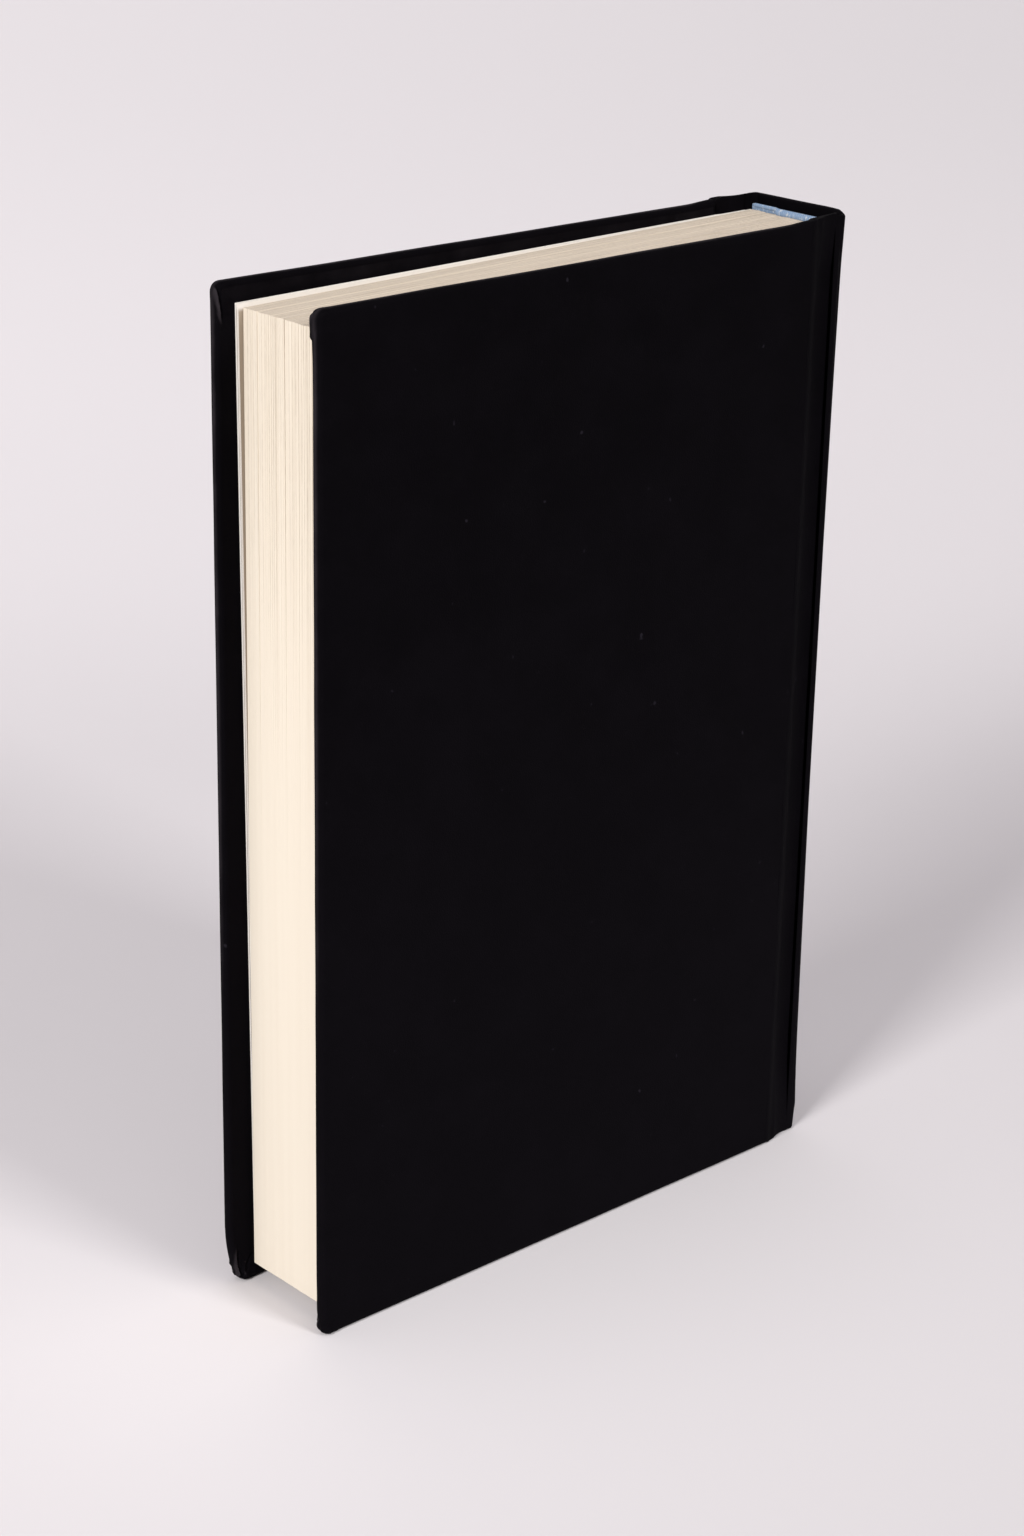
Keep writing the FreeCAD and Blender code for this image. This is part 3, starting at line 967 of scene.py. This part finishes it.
def text_leaves(sizes, finish):
    """The gathered leaves, each with its own small offset at fore edge, head and tail."""
    draws = random.Random(11)
    count = sizes.leaves
    near_gap, far_gap = 0.82, 0.86
    thickness = 25.9
    steps = (0.05, 0.3, 0.1, 0.4, 0.15, 0.3, 0.0, 0.35, 0.2, 0.45, 0.1, 0.25)
    seams = []
    while not seams or seams[-1][0] < thickness:
        start = seams[-1][0] if seams else 0.3
        place_of_seam = start + draws.uniform(0.75, 1.25)
        seams.append((place_of_seam, draws.uniform(0.35, 1.0), draws.uniform(-0.06, 0.06)))
    drift = 0.0
    outlines = []
    parts = 22
    for index in range(count):
        leaf = index / count * thickness
        step = steps[int(index / count * len(steps))]
        gap, strength, lean = min(seams, key=lambda seam: abs(seam[0] - leaf))
        seam = strength * ease(abs(gap - leaf), 0.17, 0.05)
        drift = 0.7 * drift + draws.uniform(-0.03, 0.03)
        jog = 0.6 * lean + drift + 0.04 * seam
        jog += draws.uniform(0.03, 0.08) if draws.random() < 0.08 else 0.0
        top = 0.5 * drift + 0.10 * seam
        top += draws.uniform(0.03, 0.10) if draws.random() < 0.06 else 0.0
        held = {"leaf": leaf, "seam": seam}
        points = []
        for k in range(parts + 1):
            up = k / parts
            z = mix(4.14 + 0.06 * step, 230.3 - LEAF_BAY * step - top, up)
            spread = mix(0.04, 1.0, ease(z, 90.0, 215.0))
            u = mix(4.86, 4.98, ease(z, 110.0, 220.0)) + (LEAF_BAY * step + jog) * spread
            u += 0.10 * ripple(leaf * 0.12, 0.0, z * 0.012, 2.0)
            points.append((u, z, held))
        for k in range(1, parts + 1):
            along = k / parts
            z = mix(230.3, 233.2, along) - LEAF_BAY * step * (1.0 - 0.3 * along) - top
            z += 0.10 * ripple(leaf * 0.15, along * 2.2, 4.0, 3.0)
            z += 0.06 * ripple(leaf * 1.1, along * 5.0, 8.0, 4.0)
            points.append((mix(points[parts][0], FOLD_U, along), z, held))
        for k in range(parts):
            along = 1.0 - k / parts
            z = mix(points[0][1], 4.7, along) + abs(top)
            points.append((mix(points[0][0], FOLD_U, along), z, held))
        outlines.append(points)
    shape = Shape()
    rings = leaf_rings(
        shape,
        outlines,
        lambda u: NEAR_FACE + near_gap,
        lambda u: far_line(u) - far_gap,
    )
    shape.cap(rings[0])
    shape.cap(rings[-1], flip=True)
    return shape.build("text_leaves", finish)


def woven_band(name, head, finish):
    """A head band: a bead of wrapped thread with its tape glued behind it."""
    shape = Shape()
    near, far = NEAR_FACE + 1.1, FAR_FACE - 0.5
    centre_u = FOLD_U + 0.32
    centre_z = 233.2 + 1.15 if head else 4.6 - 1.15
    wraps = 44
    steps = wraps * 6
    rows = []
    for k in range(steps + 1):
        share = k / steps
        v = mix(near, far, share)
        turn = abs(math.sin(math.pi * wraps * share))
        thin = ease(share, 0.66, 0.72)
        swell = mix(0.98, 0.5, thin) * (0.90 + 0.10 * turn)
        swell *= mix(0.6, 1.0, ease(min(share, 1.0 - share), 0.0, 0.03))
        bow = mix(0.05, -0.22, thin) + 0.10 * ripple(share * 3.0, 0.0, 1.0, 6.0)
        row = []
        for j in range(14):
            angle = 2.0 * math.pi * j / 14.0
            where = place(
                centre_u - bow + swell * math.cos(angle),
                v + 0.1 * math.sin(angle),
                centre_z - mix(0.78, 0.2, thin) + swell * math.sin(angle),
            )
            row.append(shape.point(where, stitch=turn ** 0.5))
        rows.append(row)
    shape.loft_all(rows)
    shape.cap(rows[0])
    shape.cap(rows[-1], flip=True)
    # the tape
    start = FOLD_U + 0.34
    low, high = (centre_z - 12.0, centre_z) if head else (centre_z, centre_z + 12.0)
    ring = ((start, near), (start, far), (start + 0.3, far), (start + 0.3, near))
    rows = []
    for k in range(13):
        z = mix(low, high, k / 12.0)
        rows.append([shape.point(place(u, v, z), stitch=0.5) for u, v in ring])
    shape.loft_all(rows)
    shape.cap(rows[0])
    shape.cap(rows[-1], flip=True)
    return shape.build(name, finish, 50.0)


# Settings

class BookSizes(bpy.types.PropertyGroup):
    """Sizes of the dressed pieces that a user would change."""

    edge_radius: bpy.props.FloatProperty(
        name="Edge radius", description="Roundness of the covers' wrapped edges",
        default=0.0012, min=0.0005, max=0.0014, subtype="DISTANCE", unit="LENGTH", precision=5,
    )
    corner_radius: bpy.props.FloatProperty(
        name="Corner radius", description="Roundness of the covers' fore corners",
        default=0.0022, min=0.0015, max=0.006, subtype="DISTANCE", unit="LENGTH", precision=5,
    )
    tuck_length: bpy.props.FloatProperty(
        name="Tuck length", description="Length of the doubled cloth beside each corner",
        default=0.0068, min=0.003, max=0.012, subtype="DISTANCE", unit="LENGTH", precision=5,
    )
    tuck_rise: bpy.props.FloatProperty(
        name="Tuck rise", description="How far the doubled cloth stands proud",
        default=0.00045, min=0.0, max=0.0012, subtype="DISTANCE", unit="LENGTH", precision=5,
    )
    bruise: bpy.props.FloatProperty(
        name="Bruise", description="How far the tail corners are pushed in",
        default=0.0011, min=0.0, max=0.003, subtype="DISTANCE", unit="LENGTH", precision=5,
    )
    wear: bpy.props.FloatProperty(
        name="Wear", description="How far the front cover's tail corner is worn away",
        default=0.0023, min=0.0, max=0.003, subtype="DISTANCE", unit="LENGTH", precision=5,
    )
    leaves: bpy.props.IntProperty(
        name="Leaves", description="Leaves that show at the edges", default=240, min=60, max=400,
    )
    floor_size: bpy.props.FloatProperty(
        name="Floor size", description="Half the width of the sweep",
        default=4.0, min=1.0, max=10.0, subtype="DISTANCE", unit="LENGTH",
    )


def colour_setting(label, description, colour):
    """A colour property."""
    return bpy.props.FloatVectorProperty(
        name=label, description=description, default=colour, size=3, min=0.0, max=1.0, subtype="COLOR",
    )


class BookColours(bpy.types.PropertyGroup):
    """Colours of the finishes."""

    covering: colour_setting("Covering", "Black of the covering", (0.0019, 0.0016, 0.0022))
    # painted sheen on the rubbed edges, as well as their real wear
    covering_rubbed_and_sheen: colour_setting(
        "Rubbed covering", "The covering where its edges are rubbed", (0.0215, 0.0185, 0.0215),
    )
    page: colour_setting("Page edge", "Cream of the leaves' edges", (0.682, 0.614, 0.512))
    page_light: colour_setting("Light page edge", "Paler cream of the leaves' edges", (0.722, 0.662, 0.562))
    # painted shade: the head's paper in a darker colour
    page_head_shaded: colour_setting("Page head", "Tone of the leaves at the head", (0.515, 0.449, 0.374))
    page_line: colour_setting("Page line", "Thin lines between leaves", (0.42, 0.35, 0.27))
    # painted shade on the end paper in the recess and between the end leaves
    page_shade: colour_setting("Shaded leaves", "End paper in painted shade", (0.27, 0.21, 0.145))
    end_paper: colour_setting("End paper", "White of the end papers", (0.84, 0.81, 0.77))
    band: colour_setting("Head band", "Blue of the head band", (0.20, 0.285, 0.42))
    # painted shade in the valleys between the wraps
    band_shade: colour_setting("Head band shade", "Blue between the wraps", (0.12, 0.19, 0.30))
    band_fleck: colour_setting("Head band fleck", "Pale flecks in the band", (0.42, 0.46, 0.50))
    board: colour_setting("Board", "Grey board inside the covers", (0.30, 0.28, 0.25))
    card: colour_setting("Card", "Card inside the spine", (0.38, 0.35, 0.30))
    lining: colour_setting("Lining", "Cloth glued to the block's back", (0.60, 0.56, 0.47))
    floor: colour_setting("Floor", "The pale sweep", (0.663, 0.641, 0.660))


# Operators

def needed(name):
    """A finish made by an earlier operator."""
    found = bpy.data.materials.get(name)
    if found is None:
        raise RuntimeError("make the finishes first: there is no " + name)
    return found


class BOOK_OT_finishes(bpy.types.Operator):
    """Makes the procedural finishes of every piece"""

    bl_idname = "book.finishes"
    bl_label = "Make finishes"

    def execute(self, context):
        colours = context.scene.book_colours
        finish_covering(colours)
        finish_leaves(colours)
        finish_end_paper(colours)
        finish_band(colours)
        finish_board("grey_board", tuple(colours.board))
        finish_board("spine_card", tuple(colours.card))
        finish_lining(colours)
        finish_floor(colours)
        return {"FINISHED"}


class BOOK_OT_covers(bpy.types.Operator):
    """Wraps both boards in their covering, with folded and bruised corners"""

    bl_idname = "book.covers"
    bl_label = "Cover the boards"

    def execute(self, context):
        sizes = context.scene.book_sizes
        covering = needed("black_covering")
        worn = sizes.wear * 1000.0
        for side, lay, marks in (
            ("back", on_back, (1.0, 1.0, 0.25 * worn)),
            ("front", on_front, (2.0, 0.5, worn)),
        ):
            board = cover_board(side + "_grey_board", lay, sizes, needed("grey_board"), marks)
            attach(board, side + "_cover")
            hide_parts(side + "_board")
            piece = cover_covering(side + "_cover_cloth", lay, sizes, covering, marks)
            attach(piece, side + "_cover")
            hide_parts(side + "_covering")
        return {"FINISHED"}


class BOOK_OT_spine(bpy.types.Operator):
    """Lays the covering round the spine and across both grooves"""

    bl_idname = "book.spine"
    bl_label = "Cover the spine"

    def execute(self, context):
        covering = needed("black_covering")
        spine = spine_cloth(covering)
        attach(spine, "block")
        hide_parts("spine_covering")
        card = spine_card(needed("spine_card"))
        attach(card, "block")
        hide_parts("spine_inlay")
        for side, lay, shift, seed, rise, flare in (
            ("back", on_back, 0.0, 8.0, 10.0, 1.0),
            ("front", on_front, FRONT_SHIFT, 9.0, 2.2, 0.0),
        ):
            strip = joint_cloth(side + "_joint_cloth", lay, shift, covering, seed, rise, flare)
            place(FOLD_U - 0.9, 0, 0)
            place(FOLD_U - 3.8, 0, 0)
            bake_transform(strip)
        return {"FINISHED"}


class BOOK_OT_end_papers(bpy.types.Operator):
    """Pastes the end papers into the covers and lays the white end leaves"""

    bl_idname = "book.end_papers"
    bl_label = "Add end papers"

    def execute(self, context):
        paper = needed("white_end_paper")
        sides = (
            ("back", on_back, BACK_SHEET, 0.0, 11.0),
            ("front", on_front, FRONT_SHEET, FRONT_SHIFT, 12.0),
        )
        for side, lay, outline, shift, seed in sides:
            pasted = pastedown(side + "_paste_paper", lay, outline, shift, paper, seed)
            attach(pasted, side + "_cover")
            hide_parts(side + "_pastedown")
            strip = hinge_paper(side + "_hinge_paper", lay, outline, shift, paper)
            place(FOLD_U - 0.9, 0, 0)
            place(FOLD_U - 3.8, 0, 0)
            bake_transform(strip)
        # each sheet's inner and outer face from the fold's face, its jog at the fore edge and its painted gap
        # shade
        back = ((0.02, 0.2, 0.0, 0.0), (0.22, 0.38, 0.1, 0.2), (0.4, 0.58, 0.3, 0.0), (0.6, 0.78, 0.1, 0.1))
        front = (
            (0.02, 0.2, 0.0, 0.0), (0.22, 0.4, 0.12, 0.55),
            (0.42, 0.6, 0.03, 0.05), (0.62, 0.8, 0.1, 0.25),
        )
        for name, sheets, is_front in (
            ("back_white_leaves", back, False),
            ("front_white_leaves", front, True),
        ):
            leaves = end_leaves(name, sheets, is_front, paper)
            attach(leaves, "block")
            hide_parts(name.replace("white", "end"))
        return {"FINISHED"}


class BOOK_OT_leaves(bpy.types.Operator):
    """Stacks the gathered leaves of the text block"""

    bl_idname = "book.leaves"
    bl_label = "Stack the leaves"

    def execute(self, context):
        leaves = text_leaves(context.scene.book_sizes, needed("page_edges"))
        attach(leaves, "block")
        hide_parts("text_block")
        return {"FINISHED"}


class BOOK_OT_bands(bpy.types.Operator):
    """Sews the head band and the tail band"""

    bl_idname = "book.bands"
    bl_label = "Add head bands"

    def execute(self, context):
        weave = needed("head_band_weave")
        for name, node, head in (("head_weave", "head_band", True), ("tail_weave", "tail_band", False)):
            band = woven_band(name, head, weave)
            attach(band, "block")
            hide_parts(node)
        return {"FINISHED"}


class BOOK_OT_lining(bpy.types.Operator):
    """Gives the lining on the block's back its finish"""

    bl_idname = "book.lining"
    bl_label = "Finish the lining"

    def execute(self, context):
        piece = frame["nodes"]["spine_lining"]
        piece.data.materials.clear()
        piece.data.materials.append(needed("lining_cloth"))
        return {"FINISHED"}


def softbox(name, place_at, aim, size, watts, colour):
    """A large soft lamp."""
    lamp = bpy.data.lights.new(name, "AREA")
    lamp.shape = "RECTANGLE"
    lamp.size, lamp.size_y = size
    lamp.energy = watts
    lamp.color = colour
    holder = bpy.data.objects.new(name, lamp)
    bpy.context.scene.collection.objects.link(holder)
    holder.location = place_at
    holder.rotation_euler = (Vector(aim) - Vector(place_at)).to_track_quat("-Z", "Y").to_euler()
    return holder


class BOOK_OT_stage(bpy.types.Operator):
    """Sets the sweep, the soft lamps, the world and the camera"""

    bl_idname = "book.stage"
    bl_label = "Set the stage"

    def execute(self, context):
        scene = context.scene
        half = scene.book_sizes.floor_size
        floor = Shape()
        start, bend = 0.3, 1.3
        route = [(-half, 0.0), (start, 0.0)]
        for k in range(1, 33):
            angle = math.radians(90.0) * k / 32
            route.append((start + bend * math.sin(angle), bend - bend * math.cos(angle)))
        route.append((start + bend, half))
        away = Vector((0.676, 0.737, 0.0))
        across = Vector((0.737, -0.676, 0.0))
        rows = []
        for distance, height in route:
            middle = away * distance
            rows.append([
                floor.point(tuple(middle + across * side * half + Vector((0.0, 0.0, height))))
                for side in (-1.0, -0.33, 0.33, 1.0)
            ])
        floor.loft_all(rows, closed=False)
        sweep = floor.build("studio_sweep", needed("pale_sweep"), 60.0)
        centre = (0.0, 0.0, 0.11)
        softbox("left_softbox", (-2.2, -0.59, 1.45), centre, (0.7, 1.0), 61.0, (1.0, 0.985, 0.965))
        softbox("right_softbox", (0.4, -2.9, 1.85), centre, (0.85, 1.2), 62.0, (1.0, 0.985, 0.965))
        world = bpy.data.worlds.new("studio_air")
        world.use_nodes = True
        world.node_tree.nodes["Background"].inputs["Color"].default_value = (1.0, 0.955, 0.985, 1.0)
        world.node_tree.nodes["Background"].inputs["Strength"].default_value = 0.50
        scene.world = world
        camera = bpy.data.objects.new("photo_camera", bpy.data.cameras.new("photo_camera"))
        scene.collection.objects.link(camera)
        camera.location = (-0.469847, -0.503615, 0.379298)
        camera.rotation_euler = [math.radians(a) for a in (68.908157, -1.058093, -42.141569)]
        camera.data.sensor_width = 36.0
        camera.data.lens = 74.4135
        camera.data.clip_start = 0.01
        camera.data.clip_end = 30.0
        scene.camera = camera
        scene.view_settings.view_transform = "Standard"
        return {"FINISHED"}


class BOOK_PT_panel(bpy.types.Panel):
    """Lists the book's steps and settings"""

    bl_idname = "BOOK_PT_panel"
    bl_label = "Hardback book"
    bl_space_type = "VIEW_3D"
    bl_region_type = "UI"
    bl_category = "Book"

    def draw(self, context):
        layout = self.layout
        for operator in OPERATORS:
            layout.operator(operator.bl_idname)
        for group in (context.scene.book_sizes, context.scene.book_colours):
            box = layout.box()
            for name in group.__annotations__:
                box.prop(group, name)


OPERATORS = (
    BOOK_OT_finishes,
    BOOK_OT_stage,
    BOOK_OT_covers,
    BOOK_OT_spine,
    BOOK_OT_end_papers,
    BOOK_OT_leaves,
    BOOK_OT_bands,
    BOOK_OT_lining,
)
CLASSES = (BookSizes, BookColours) + OPERATORS + (BOOK_PT_panel,)


def register():
    """Registers the classes and their settings."""
    for made in CLASSES:
        bpy.utils.register_class(made)
    bpy.types.Scene.book_sizes = bpy.props.PointerProperty(type=BookSizes)
    bpy.types.Scene.book_colours = bpy.props.PointerProperty(type=BookColours)


def unregister():
    """Takes the settings and the classes away again."""
    del bpy.types.Scene.book_colours
    del bpy.types.Scene.book_sizes
    for made in reversed(CLASSES):
        bpy.utils.unregister_class(made)


def main():
    """Builds the whole book."""
    register()
    bpy.ops.book.finishes()
    bpy.ops.book.stage()
    bpy.ops.book.covers()
    bpy.ops.book.spine()
    bpy.ops.book.end_papers()
    bpy.ops.book.leaves()
    bpy.ops.book.bands()
    bpy.ops.book.lining()


if __name__ == "__main__":
    main()
